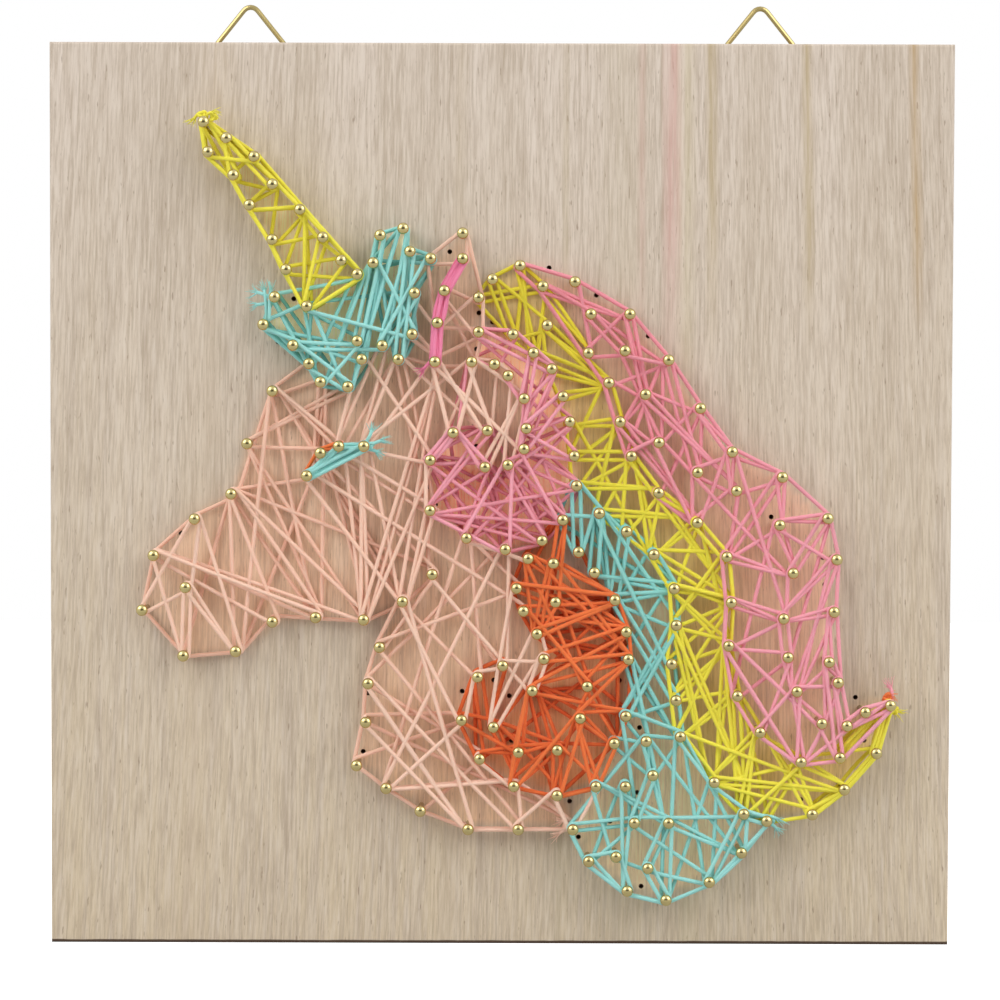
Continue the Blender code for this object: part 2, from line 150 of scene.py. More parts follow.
# the strands, nail to nail, in the order in which they were wound: "h1-h2*2" is two strands
STRANDS = {
    "horn": """
    h1-h2*2 h2-h3*2 h3-h4*2 h4-h5*2 h5-h6*2 h6-h8*2 h1-h9*2 h9-h10*2 h10-h11*2 h11-h12*2
    h12-h13*2 h13-h14*3 h14-h8*3 h7-h8 h10-h4 h11-h5 h12-h5 h12-h6 h4-h12 h11-h4 h1-h4 h1-h10*2
    h2-h10 h2-h4 h5-h14 h5-h13 h6-h14 h13-h7 h13-h8 h7-h14 h1-h3*2 h3-h4*2 h4-h5*2 h5-h6*2
    h6-h8*2 h8-h14 h14-h13 h13-h12*2 h12-h11*2 h11-h10*2 h10-h9*2 h9-h1*2 h1-h10 h10-h3 h3-h5
    h5-h11 h11-h4 h4-h2 h2-h10 h9-h3 h5-h14 h14-h6 h14-h8*2 h8-h6 h6-h4 h1-h4 h10-h12 h12-h14
    h8-h5""",
    "forelock": """
    l1-l2 l2-l3*2 l3-l4 l4-l5 l5-l6 l16-l15*2 l17-l16 l15-l14 l14-l13 l13-l12 l12-l11*2 l11-l10
    l17-l13*2 l12-h14 l15-l17 l13-l6 l17-l11 l8-h14 l8-l2 l9-l3*2 l1-l4 l2-h14 l2-l4 l4-h14
    l5-h14 l1-l6 h14-l6*2 l6-l8 h8-l5 l17-l8 l1-h8 l17-h8 l14-l12 l16-l7*2 l15-l10*3 l7-l6
    l17-l9 l12-l10 l14-l9 l1-l5 h14-l11*2 l16-l8*2 l15-l8 l15-l6 l14-l10*2 l17-l5 l12-l9 l15-l9
    h8-l4 l17-l10 l11-l17 l2-l7 l3-l8 l2-h14 l4-l6 l5-l8 l13-l14 l13-l9 l3-l6""",
    "face": """
    l4-f1 f1-l5 f1-f2 f2-f3 f3-f4 f4-f5 f5-f6 f6-f8 f8-f9*2 f9-f10 f10-f11 f11-f12 f12-f13
    f13-f14 f13-f15*2 f15-f16 f16-f17 f17-f18 f18-f19*2 f19-f20*2 f20-f21 f21-f22*3 f22-t10*2
    l13-e1*2 e1-e2 e1-e6 l13-e2 l13-e5 l13-e4 l12-e4 e6-e3 e6-e4 e7-e4 e7-e5 e3-e8 e3-e7 e6-e7
    e5-l11*2 l10-e5 e5-e8 e7-e8 f1-f13*2 f1-f11 f1-f9 f1-i3*2 l5-i1*2 i1-f9 f2-l6*2 f2-i2 f2-f11
    f2-f12 f3-i1 f3-f14 f3-f11*2 f3-f12 f3-f10 f3-f9 f3-f8 f4-f7*2 f4-f9 f4-f6 f5-f10*2 f5-f12
    f5-f11*2 f5-f8 f6-f7 f7-f8*2 f7-f9*2 l5-f11 i2-f12 i3-f12 i4-f12*2 i4-f13 e5-f12*2 e8-f12
    e5-f13 l10-c6*2 c6-f13*2 c6-f14 c6-o2 i1-f13 i2-f14 i1-o3 i2-c6 i3-c6 f14-f15 f13-f21*2
    f13-o8 f14-o7 f14-o6 c7-o8 c7-f19 c8-o7*2 c8-f16 c8-f19 o2-f15 f15-f22 f16-f21*2 f16-o10
    f16-f22 f17-o9 f17-f21 f17-t10 f18-o9 f19-o9 f19-o11*2 f20-o10 f13-o9 o8-o9 o10-o11 o7-o8
    o11-f22 o11-t10 o14-f22 o14-t10*2 t8-t10 o4-o13 o5-o13 o7-o5 o5-o6*2 o7-o13 o2-o7 o4-o5
    l7-c5 l9-i4 l7-i3 l9-i3 l10-i3 l10-i4 e5-i4 e8-i4 l10-c2 i4-c5 c13-c3*2 c12-c4 c13-c4 e5-c15
    c11-c2 e8-c1 e5-c1 c13-c14 c5-c6 e8-c11 c11-c12 e8-c13 e5-c2 c8-o1 c7-c8 e8-c2""",
    "cheek": """
    e7-c16*2 c1-c2*2 c1-c7 c5-c7*2 c5-c10 c5-c9 c3-c8*3 c3-c10 c4-c7 c15-c7 c6-c3 c20-c14
    c20-c15 c20-c7 c14-c22 c13-c21 c22-c10 c22-c7 c14-c10 c10-c9 c15-c8 c15-c9 c14-c15*2 c15-c22
    c4-c22*2 c4-c10*2 c4-c15 c2-c3*2 c7-c8*2 c8-c9*3 c6-c9*2 c5-c3*4 c5-c2*2 c2-c6*2 e8-c1*2
    c18-c15*2 c18-c14 c17-c14 e7-c18*2 e7-c20 c16-e8 c11-e8 c16-c11 c17-c18 c12-c13 c14-c20
    c5-c1*3 c5-c8*2 c8-c22 c22-c2 c2-c9 c9-c3 c3-c6 c6-c10 c10-c15 c15-c21 c21-c14 c14-c19
    c19-c15 c15-c17 c17-c13 c4-c9 c9-c5 c6-c22 c7-c3 c20-c4 c18-c13 c1-c3*2 c4-c7 c6-c8 c8-c4
    c19-c14 c16-c18""",
    "inner_ear": "e2-e3*2 e3-e4*2 e4-e5*2",
    "eye": "i1-i4*3",
    "orange": """
    o1-o2*3 o2-o3*2 o3-o4*2 o4-o17 o4-t5*2 o4-t3 o4-t4 o6-t4 o6-o17 o6-t6*3 o6-o16 o6-o15*2
    o6-o14*2 o6-o13*3 o6-o12 o6-t7 o7-o13*3 o7-o8*3 o8-o9*2 o8-o10*2 o8-o13 o9-o10*3 o9-o13
    o10-o11*3 o10-o17 o10-o12*2 o13-o15*2 o13-o12 o13-o11*2 o11-o14*3 o11-o12*2 o11-o15*2
    o12-o15*2 o12-o14 o14-o15*3 o14-t8*3 o14-t7*2 o15-o16 o15-t7 o15-t8*2 o16-t7*3 o16-t8*2
    o17-t7*2 o17-t4 o17-t6 o17-o18 o16-o17 t5-t6*3 t6-t7*3 t7-t8*3 t3-t7*2 c10-t5*2 o18-t3*2
    o18-t5 o18-t4 o18-o4 o19-o18 o19-o17 c10-o1*2 c10-o19*2 o1-o19 o1-o4*2 t3-t4 t4-t5 o14-o16
    c10-o4*2 o4-o19 o19-t3 t3-o1 c10-o2 o2-o18 o18-c10 o3-t3 o2-t4 t4-o1 o1-t5 t5-o19 o3-t4
    t4-o17 o17-t5*2 t5-o5 o5-t4 o2-t3 t3-o6 o6-t5 t5-o16 o16-t6 t6-o6 o6-t4 o4-t3*2 o4-o18
    o1-o17 o17-o3 o9-o12 o12-o6 o6-o11 o11-o16 o16-o14 i1-i2*2 i2-i3*2""",
    "teal": """
    c22-c10*2 c22-y31 y31-y30 y30-y29 y29-y28*2 y28-y27*2 y27-y26*2 y26-y25 y25-y24*2 y31-y28*2
    y31-t2*2 y31-t3*2 y31-y27 c22-t1*2 c22-y31 c10-y28*2 c10-t1 c10-y31 t1-y31 t2-y31 y30-t3*2
    y29-t3 t2-y28*2 t3-y28*2 t3-y27 t3-y25*2 y31-y26*2 t5-y28 t6-y27*3 t5-y24*2 t5-t21*2 t6-y25
    t6-y24*2 t6-t21 t6-t18*2 t7-t21 t21-y24 t7-t20 t21-t10*2 t21-t20*2 t21-t19*2 t21-t17 y24-t20
    y24-t19*2 y24-t16 y24-t17*2 y23-t15 y23-t16 y24-y23 y23-y22 t8-t19*2 t8-t12 t9-t11 t9-t13
    t9-t18 t10-t18*2 t10-t11*2 t18-t19 t19-y21*2 t20-t18*2 t18-t16 t18-t11 t18-t13 t19-t14*3
    t19-t15*2 t19-t17*2 t12-t14 t12-t13*2 t11-t13*3 t11-t12 t13-t15*3 t14-t16*2 t14-t15*2
    t15-t16 t16-t17*3 t16-y22*2 t17-y21*2 t17-y22 t16-y21 y22-y21*2 y29-y28""",
    "yellow": """
    y1-y2*2 y2-y3 y1-e6*2 e6-c16*3 y1-c16*3 y1-y4 y2-c16 y3-e6*2 y2-c17*2 y3-c17 y3-y5*3 y4-y5*2
    c16-y4 c16-c17*3 y4-c17 y4-c18 y4-y6*3 c17-y6*3 y5-y6 c18-y6 c18-c19 c19-y6*2 c19-c20*3
    y6-y7*3 y6-c21*2 c20-y7*2 y7-c21*2 y7-c22 y7-y8*2 c20-c21*2 c20-y29 c21-y8*3 y7-y31*2
    c21-c22*2 y8-c22 y8-y31 y8-y30 y8-y29*2 c22-y9*2 y9-y30 y9-y29 y31-y10*2 y10-y29*3 y9-y12*2
    y10-y28 y29-y11*2 y10-y13*2 y31-y30 y30-y29 y29-y28*2 y29-y12*2 y28-y12*4 y28-y13*2
    y27-y11*3 y27-y12*2 y27-y13 y26-y12 y26-y13 y25-y12 y25-y13*2 y27-y23*2 y27-y21*2 y25-y14
    y13-y23*2 y13-y22*2 y24-y13 y24-y14*2 y8-y9*2 y9-y10*2 y10-y11*2 y11-y12*2 y12-y13 y28-y27
    y27-y26 y26-y25 y25-y24 y13-y14*3 y14-y15*3 y15-y23*2 y14-y21 y14-y22*2 y15-y16*2 y15-y22*2
    y15-y20*2 y16-y23 y16-y21*2 y16-y19*3 y16-y20 y23-y19*3 y23-y22 y23-y20 y24-y19 y24-y23*2
    y16-y17*2 y17-y18 y18-y19*4 y19-y20*3 y20-y21*2 y22-y21*2 y18-p14*4 y17-p14*2 y22-y16""",
    "pink": """
    y2-p1*3 y2-y3 y3-p2*2 y3-y5*2 y3-p26 p1-p2*2 p1-y5*2 p26-p3 p26-p25*2 y5-p2 y5-p25 y5-y6
    p2-p3*2 p2-p24*2 p2-p23 y6-p24 y6-p3 y6-y7*2 p3-p4*3 p3-p24 p3-p23 p3-p22*2 p25-p24 p25-p3
    y7-p24*2 p24-y8 p24-p23 y7-p23*2 y7-y10*3 y7-y8 y8-y9*2 y9-y10*3 y10-y11*3 y9-p4*2 p4-p23
    p24-p4 p4-p5*3 p4-p22 p24-p21*2 p23-p22 p23-y10*2 p23-y8 p22-p5*2 p22-p21 p22-y10 y10-p5
    p22-p19 y10-p21 p21-y11*2 p5-p21*2 p5-p18*2 p5-p6*2 p21-p6 p6-y11*2 p6-p20*2 p6-p7*2
    p20-p7*2 p20-y11 p20-y14 p20-p19*2 p20-p8 p7-p19*3 p7-p8*2 p7-p17 y11-y12 y11-p19*2
    y12-p18*3 p19-p18 p8-p18*2 p8-p9 p8-p16*2 p18-p9*2 y13-p18*2 y12-y13*3 y13-p17 p18-p17*2
    p9-p16 p9-p10*2 p9-p11 p17-y14 p17-p16*2 y13-y14 y13-y16*2 y13-p15*2 p16-p10 p16-p11*2
    p10-p11*2 p10-p15 p11-p15*2 p11-p12*2 p11-y17 p10-y17 p16-p15 p16-y16*2 p17-y15 p16-y15
    y14-y15 y15-y16*2 y16-y17 p15-y16*2 p15-y17 y16-p12 p12-p14*2 p12-p13 p13-p14 y17-p14*2""",
}

# the lowest and highest strand of each area, in mm above the board's front
HEIGHTS = {
    "horn": (1.2, 7.8), "forelock": (1.4, 8.2), "face": (1.0, 6.4), "cheek": (1.6, 8.2),
    "inner_ear": (6.6, 8.3), "eye": (6.4, 8.3), "orange": (0.9, 6.4), "teal": (2.4, 8.4),
    "yellow": (0.9, 6.6), "pink": (1.8, 8.4),
}
CAD_YARN = {area: area + "_yarn" for area in STRANDS}
YARN_SLOT = {
    "horn": "yellow_yarn", "forelock": "teal_yarn", "face": "peach_yarn", "cheek": "pink_yarn",
    "inner_ear": "hot_pink_yarn", "eye": "teal_yarn", "orange": "orange_yarn",
    "teal": "teal_yarn", "yellow": "yellow_yarn", "pink": "pink_yarn",
}

# ---- colours, of 0 to 255 as shown on a screen, and materials ----
WHITE = (1.0, 1.0, 1.0, 1.0)
# each yarn where it is lightest, and where it is deepest. Between the two, the colour is painted
# light on the highest strands and painted shade on the lower strands and between the plies, and it
# also varies with the fibres and tufts
YARN_COLOURS = {
    "yellow_yarn": ((242, 231, 80), (233, 217, 64)),
    "teal_yarn": ((160, 221, 215), (138, 210, 203)),
    "peach_yarn": ((247, 208, 186), (243, 194, 170)),
    "pink_yarn": ((243, 166, 179), (240, 148, 160)),
    "hot_pink_yarn": ((243, 140, 174), (236, 118, 154)),
    "orange_yarn": ((241, 124, 68), (237, 106, 56)),
}
# how the yarn's noise is stretched round and along it, and how the fibres lean
FIBRE_STRETCH = (9.0, 5.0, 1.0)
FIBRE_LEAN = math.radians(28)
TUFT_STRETCH = (2.0, 2.2, 1.0)
# how far fibres and tufts change the yarn's colour, and how much painted shade the grooves
# between plies get
FIBRE_CHANGE = 0.55
TUFT_CHANGE = 0.35
GROOVE_SHADE = 0.30
DEEPEST = 0.22

# brass: its bright colour, its dull colour and its roughness
NAIL_BRASS = ((222, 206, 146), (184, 164, 104), 0.15)
HANGER_BRASS = ((196, 178, 122), (158, 138, 86), 0.22)
MARK_STRETCH = (900.0, 900.0, 900.0)
PATCH_STRETCH = (140.0, 140.0, 140.0)

WOOD_LIGHT = (214, 200, 186)
WOOD_MID = (202, 187, 170)
WOOD_DARK = (168, 150, 130)
WOOD_WARM = (208, 190, 160)
WOOD_HAIR = (226, 214, 200)
WOOD_PORE = (140, 118, 98)
WOOD_LOW_EDGE_DARK = (72, 52, 38)
HOLE_DARK = (104, 72, 54)
HOLE_LIGHT = (140, 104, 80)
# how the wood's noises are stretched across the board, through it and up it
BROAD_STRETCH = (55.0, 30.0, 3.0)
FINE_STRETCH = (620.0, 260.0, 22.0)
HAIR_STRETCH = (1900.0, 700.0, 110.0)
PORE_STRETCH = (1700.0, 700.0, 330.0)
DRIFT_STRETCH = (9.0, 9.0, 5.0)
DRIFT_WIDTH = 0.006
# upright streaks: place and half-width as shares of the board's side, strength, colour, and
# whether they show only near the top
STREAKS = [
    (0.692, 0.015, 0.90, (206, 164, 154), True), (0.708, 0.014, 0.45, (200, 186, 150), False),
    (0.737, 0.009, 0.80, (180, 160, 120), True), (0.850, 0.009, 0.75, (182, 162, 124), True),
    (0.975, 0.009, 0.90, (180, 150, 106), True), (0.655, 0.007, 0.50, (204, 168, 156), True),
    (0.630, 0.040, 0.35, (190, 176, 150), False), (0.565, 0.006, 0.50, (186, 170, 140), False),
    (0.150, 0.030, 0.40, (198, 178, 152), False), (0.440, 0.010, 0.40, (190, 172, 146), False),
]

# the edge of each area, from nail to nail
OUTLINES = {
    "horn": "h1 h2 h3 h4 h5 h6 h7 h8 h14 h13 h12 h11 h10 h9",
    "forelock": "l1 l2 l3 l4 l5 l6 l10 l11 l12 l13 l14 l15 l16 l17 h8 h14",
    "face": """
    l4 f1 f2 f3 f4 f5 f6 f8 f9 f10 f11 f12 f13 f15 f16 f17 f18 f19 f20 f21 f22 t10 o14 o11 o10
    o9 o8 o7 o13 o6 o5 o4 o3 o2 o1 c8 c7 c6 c5 c1 c2 c3 c4 c15 c14 c13 c12 c11 e8 e7 e6 e1 l13
    l12 l11 l10 l6 l5""",
    "cheek": """
    c5 c6 c7 c8 c9 c10 c22 c21 c20 c19 c18 c17 c16 e7 e8 c11 c12 c13 c14 c15 c4 c3 c2 c1""",
    "orange": "o1 o2 o3 o4 o5 o6 o13 o7 o8 o9 o10 o11 o14 t8 t7 t6 t5 t4 t3 o19 c10",
    "teal": """
    c10 c22 y31 y30 y29 y28 y27 y26 y25 y24 y23 y22 y21 t17 t16 t15 t13 t11 t10 t8 t7 t6 t5 t4
    t3 t2 t1""",
    "yellow": """
    y1 y2 y3 y5 y6 y7 y8 y9 y10 y11 y12 y13 y14 y15 y16 y17 p14 y18 y19 y20 y21 y22 y23 y24 y25
    y26 y27 y28 y29 y30 y31 c22 c21 c20 c19 c18 c17 c16 e6""",
    "pink": """
    y2 p1 p2 p3 p4 p5 p6 p7 p8 p9 p11 p12 p13 p14 y17 y16 y15 y14 y13 y12 y11 y10 y9 y8 y7 y6 y5
    y3""",
}
# how far outside and inside that edge the painted light and shade under the yarn fades, in mm
SHADE_OUTSIDE = 1.6
SHADE_INSIDE = 1.2
# what the wood's colour inside each area is multiplied by, in linear light: painted light and
# shade under the yarn. It paints the yarn's tinted bounce light and its shade on the wood, and
# paints the wood lighter because these solid strands keep off more light than hairy yarn does
YARN_PAINTED_LIGHT = {
    "horn": (1.78, 1.80, 1.50), "forelock": (2.25, 2.12, 1.75), "face": (1.36, 1.19, 1.08),
    "cheek": (2.50, 2.02, 1.70), "orange": (1.66, 1.15, 0.72), "teal": (1.70, 1.54, 1.36),
    "yellow": (1.53, 1.38, 0.88), "pink": (1.42, 1.19, 1.07),
}

# strands that lie side by side between two nails: area, nails, how many, width of the band
BUNDLES = [
    ("eye", "i1", "i4", 5, 1.9), ("eye", "i1", "i3", 2, 0.8), ("eye", "i3", "i4", 2, 0.8),
    ("yellow", "p14", "y18", 3, 1.8), ("yellow", "y18", "y19", 3, 1.4),
    ("yellow", "y19", "y20", 3, 1.4), ("yellow", "p14", "y17", 3, 2.2),
    ("inner_ear", "e2", "e3", 3, 1.4), ("inner_ear", "e3", "e4", 4, 2.0),
    ("inner_ear", "e4", "e5", 4, 2.0), ("cheek", "c5", "c1", 3, 1.8),
]
# loose ends: colour area, then the way the yarn goes, as (x, z, height) places
TAILS = [
    ("horn", [(35.6, 182.6, 6.5), (34.2, 183.6, 7.6), (32.6, 182.2, 6.8), (31.0, 180.0, 5.2)]),
    ("horn", [(35.0, 182.6, 7.0), (36.4, 183.6, 7.8), (38.0, 183.2, 7.2)]),
    ("forelock", [(48.6, 138.4, 6.8), (48.4, 143.2, 7.4), (47.6, 147.5, 6.2)]),
    ("forelock", [(49.2, 138.4, 7.6), (49.4, 143.2, 7.9), (49.6, 147.4, 6.6)]),
    ("forelock", [(49.4, 143.6, 7.2), (47.2, 144.4, 7.0), (45.0, 145.0, 6.0)]),
    ("forelock", [(49.2, 142.4, 6.4), (47.2, 142.0, 6.6), (45.0, 141.8, 5.6)]),
    ("eye", [(70.4, 111.8, 7.6), (71.4, 113.6, 8.0), (71.8, 115.6, 7.0)]),
    ("eye", [(71.0, 111.2, 7.4), (73.0, 112.0, 7.8), (75.0, 112.5, 6.8)]),
    ("eye", [(70.8, 110.4, 7.0), (72.4, 110.0, 7.4), (73.6, 109.4, 6.6)]),
    ("inner_ear", [(85.2, 130.4, 7.8), (83.6, 128.6, 7.6), (82.0, 127.0, 6.2)]),
    ("face", [(115.0, 26.6, 3.4), (113.6, 25.6, 3.6), (112.0, 24.5, 2.6)]),
    ("face", [(115.2, 27.4, 3.0), (114.2, 28.0, 3.4), (113.0, 28.0, 2.6)]),
    ("teal", [(158.8, 29.8, 7.0), (160.4, 29.6, 7.4), (162.2, 28.6, 6.0)]),
    ("teal", [(159.4, 28.2, 6.6), (160.6, 27.4, 7.0), (161.6, 26.0, 5.8)]),
    ("yellow", [(186.0, 53.6, 4.4), (187.0, 53.0, 4.8), (188.0, 52.2, 4.0)]),
    ("orange", [(184.4, 55.4, 5.4), (185.2, 56.8, 6.2), (186.4, 56.2, 5.6)]),
    ("pink", [(186.2, 55.4, 5.8), (186.2, 57.4, 6.0), (185.4, 59.2, 4.8)]),
]
# small overhand knots: colour area, place, height, turn in the board's plane
KNOTS = [
    ("horn", 34.6, 183.2, 7.4, 20), ("horn", 37.0, 182.8, 7.2, 80), ("cheek", 84.2, 108.6, 8.9, 40),
    ("eye", 71.2, 111.2, 7.6, 0), ("teal", 159.6, 28.9, 6.8, 60), ("yellow", 187.0, 53.0, 4.6, 10),
    ("orange", 185.4, 56.0, 5.8, 30), ("face", 114.8, 27.2, 3.4, 70),
]
# holes drilled for nails that went elsewhere, as x,z in mm, and the drill's size in mm
PILOT_HOLES = """
    54,143.5 48,141.5 50.5,134 58,132.5 65.5,130 88.5,154 95,140.5 98,138.5 94.5,132.5 94,116
    94.5,111 84,102 85.5,98 88.5,94 103.5,151.5 110.5,150.5 121,144.5 132.5,135.5 29,91.5
    171.5,86.5 172,80.5 160,95.5 126.5,59 131,48.5 115.5,32 121.5,35 130.5,34 124.5,27.5
    117.5,24 131.5,13 102.5,45.5 91.5,56.5 98.5,59 102,55.5 69.5,43 70.5,56 167,32.5 179,55.4
    181,45.8"""
HOLE_R = 0.55
HOLE_DEEP = 2.4
HOLE_TIP = 0.4
HOLE_OVER = 0.6
HOLE_SIDES = 14

# ---- the camera, the room and the light, in metres and watts ----
CAMERA_DISTANCE = 0.600
CAMERA_ELEVATION = math.radians(1.924)
CAMERA_AIM = (-0.00027, 0.0, 0.09886)
CAMERA_ROLL = 0.00305
LENS = 96.35
# name, place, size and power
SOFT_BOXES = [
    ("left_softbox", (-0.80, -0.72, 0.80), (0.90, 0.90), 6.0),
    ("right_softbox", (0.82, -0.70, 0.70), (0.80, 0.90), 5.2),
    ("back_fill", (0.6, 1.6, 1.2), (1.4, 1.0), 8.0),
]
LIGHT_AIM = (0.0, 0.0, 0.10)
ROOM_LIGHT = 0.82
ROOM_DARK = 0.10
# the y part of a direction at which the room is fully dim, and at which it starts to dim
CONE_CORE = -0.97
CONE_EDGE = -0.86
FLOOR_GREY = (0.52, 0.52, 0.52, 1.0)
# the floor's half side, and how far it lies below the board, in mm
FLOOR_HALF = 900.0
FLOOR_GAP = 0.05


# ---- materials ----
def linear(rgb):
    """A screen colour of 0 to 255 as linear light, with alpha."""
    return tuple((c / 255.0 / 12.92) if c < 10.3 else ((c / 255.0 + 0.055) / 1.055) ** 2.4
                 for c in rgb) + (1.0,)


class Nodes:
    """A short way to write a material's nodes."""

    def __init__(self, name):
        self.material = bpy.data.materials.new(name)
        self.material.use_nodes = True
        self.tree = self.material.node_tree
        self.shader = self.tree.nodes["Principled BSDF"]

    def add(self, kind, **settings):
        node = self.tree.nodes.new(kind)
        for key, value in settings.items():
            setattr(node, key, value)
        return node

    def link(self, source, target):
        self.tree.links.new(source, target)

    def feed(self, socket, value):
        """Gives an input socket another socket's output, or a plain value."""
        if isinstance(value, bpy.types.NodeSocket):
            self.link(value, socket)
        else:
            socket.default_value = value

    def mapping(self, vector, scale, rotation=(0, 0, 0)):
        node = self.add("ShaderNodeMapping")
        self.link(vector, node.inputs["Vector"])
        node.inputs["Scale"].default_value = scale
        node.inputs["Rotation"].default_value = rotation
        return node.outputs["Vector"]

    def noise(self, vector, scale, detail=3.0, rough=0.5):
        node = self.add("ShaderNodeTexNoise")
        self.link(vector, node.inputs["Vector"])
        node.inputs["Scale"].default_value = scale
        node.inputs["Detail"].default_value = detail
        node.inputs["Roughness"].default_value = rough
        return node.outputs["Fac"]

    def ramp(self, fac, stops):
        """A colour or number for each value of fac, from (value, colour or number) stops."""
        node = self.add("ShaderNodeValToRGB")
        elements = node.color_ramp.elements
        while len(elements) < len(stops):
            elements.new(0.5)
        for element, (place, colour) in zip(elements, stops):
            element.position = place
            element.color = colour if not isinstance(colour, float) else (colour,) * 3 + (1.0,)
        self.link(fac, node.inputs["Fac"])
        return node.outputs["Color"]

    def math(self, operation, a, b=0.0, c=0.0, clamp=False):
        node = self.add("ShaderNodeMath", operation=operation, use_clamp=clamp)
        for socket, value in zip(node.inputs, (a, b, c)):
            self.feed(socket, value)
        return node.outputs["Value"]

    def mix(self, fac, a, b, blend="MIX"):
        """Colour a turned into colour b by fac."""
        node = self.add("ShaderNodeMix", data_type="RGBA", blend_type=blend)
        self.feed(node.inputs[0], fac)
        self.feed(node.inputs[6], a)
        self.feed(node.inputs[7], b)
        return node.outputs[2]

    def bump(self, height, strength, distance):
        node = self.add("ShaderNodeBump")
        node.inputs["Strength"].default_value = strength
        node.inputs["Distance"].default_value = distance
        self.link(height, node.inputs["Height"])
        self.link(node.outputs["Normal"], self.shader.inputs["Normal"])


def yarn_material(slot):
    """Soft acrylic yarn: fibres that run along the ply, a fuzzy sheen, painted shade between the
    plies and on the lower strands.
    """
    m = Nodes("mat_" + slot)
    top, deep = (linear(c) for c in YARN_COLOURS[slot])
    uv = m.add("ShaderNodeTexCoord").outputs["UV"]
    fibres = m.noise(m.mapping(uv, FIBRE_STRETCH, (0, 0, FIBRE_LEAN)), 3.0, 4.0, 0.6)
    tufts = m.noise(m.mapping(uv, TUFT_STRETCH), 1.6, 2.0)
    # painted shade: lower strands and the grooves between plies are painted darker
    lift = m.add("ShaderNodeAttribute", attribute_name="lift").outputs["Fac"]
    groove = m.add("ShaderNodeAttribute", attribute_name="groove").outputs["Fac"]
    light = m.math("MULTIPLY_ADD", fibres, FIBRE_CHANGE, lift)
    light = m.math("MULTIPLY_ADD", tufts, TUFT_CHANGE, light)
    light = m.math("SUBTRACT", light, m.math("MULTIPLY", groove, GROOVE_SHADE))
    colour = m.mix(m.math("SUBTRACT", light, DEEPEST, clamp=True), deep, top)
    m.link(colour, m.shader.inputs["Base Color"])
    m.shader.inputs["Roughness"].default_value = 0.88
    m.shader.inputs["Specular IOR Level"].default_value = 0.2
    m.shader.inputs["Sheen Weight"].default_value = 0.35
    m.shader.inputs["Sheen Roughness"].default_value = 0.45
    m.shader.inputs["Sheen Tint"].default_value = tuple(0.5 + 0.5 * c for c in top[:3]) + (1.0,)
    m.shader.inputs["Subsurface Weight"].default_value = 0.12
    m.shader.inputs["Subsurface Radius"].default_value = (0.0006, 0.0004, 0.0003)
    m.shader.inputs["Subsurface Scale"].default_value = 1.0
    m.bump(fibres, 0.5, 0.00012)
    return m.material


def brass_material(name, bright, dull, rough):
    """Plated brass with faint tumbling marks and dull patches."""
    m = Nodes(name)
    place = m.add("ShaderNodeTexCoord").outputs["Object"]
    marks = m.noise(m.mapping(place, MARK_STRETCH), 1.0, 4.0, 0.6)
    patches = m.noise(m.mapping(place, PATCH_STRETCH), 1.0, 2.0)
    m.link(m.mix(m.math("MULTIPLY", patches, 0.5), linear(bright), linear(dull)),
           m.shader.inputs["Base Color"])
    m.shader.inputs["Metallic"].default_value = 1.0
    m.link(m.math("MULTIPLY_ADD", marks, rough * 0.8, rough * 0.6), m.shader.inputs["Roughness"])
    m.bump(marks, 0.08, 0.00005)
    return m.material


def follow_grain(m, place, x, z):
    """The distance across the board as the grain runs, and how far the grain drifts there."""
    # the grain leans a little to the lower left, more so on the left of the board
    lean = m.math("MULTIPLY", m.math("MULTIPLY_ADD", x, -0.35, 0.012), z)
    drift = m.noise(m.mapping(place, DRIFT_STRETCH), 1.0, 2.0)
    across = m.math("SUBTRACT", x, lean)
    across = m.math("MULTIPLY_ADD", m.math("SUBTRACT", drift, 0.5), DRIFT_WIDTH, across)
    return across, drift


def lay_streaks(m, colour, across, drift, z, fine):
    """The wood's colour with its upright streaks, which the fine grain breaks up."""
    share = m.math("MULTIPLY_ADD", across, 1.0 / (BOARD * MM), 0.5)
    broken = m.ramp(fine, [(0.38, 1.0), (0.62, 0.40)])
    high_up = m.ramp(m.math("MULTIPLY_ADD", drift, 0.06, z), [(0.165, 0.0), (0.190, 1.0)])
    for centre, half_width, strength, tint, only_high_up in STREAKS:
        off = m.math("ABSOLUTE", m.math("SUBTRACT", share, centre))
        near = m.math("SUBTRACT", 1.0, m.math("DIVIDE", off, half_width), clamp=True)
        amount = m.math("MULTIPLY", m.math("MULTIPLY", near, strength), broken)
        if only_high_up:
            amount = m.math("MULTIPLY", amount, high_up)
        colour = m.mix(amount, colour, linear(tint))
    return colour


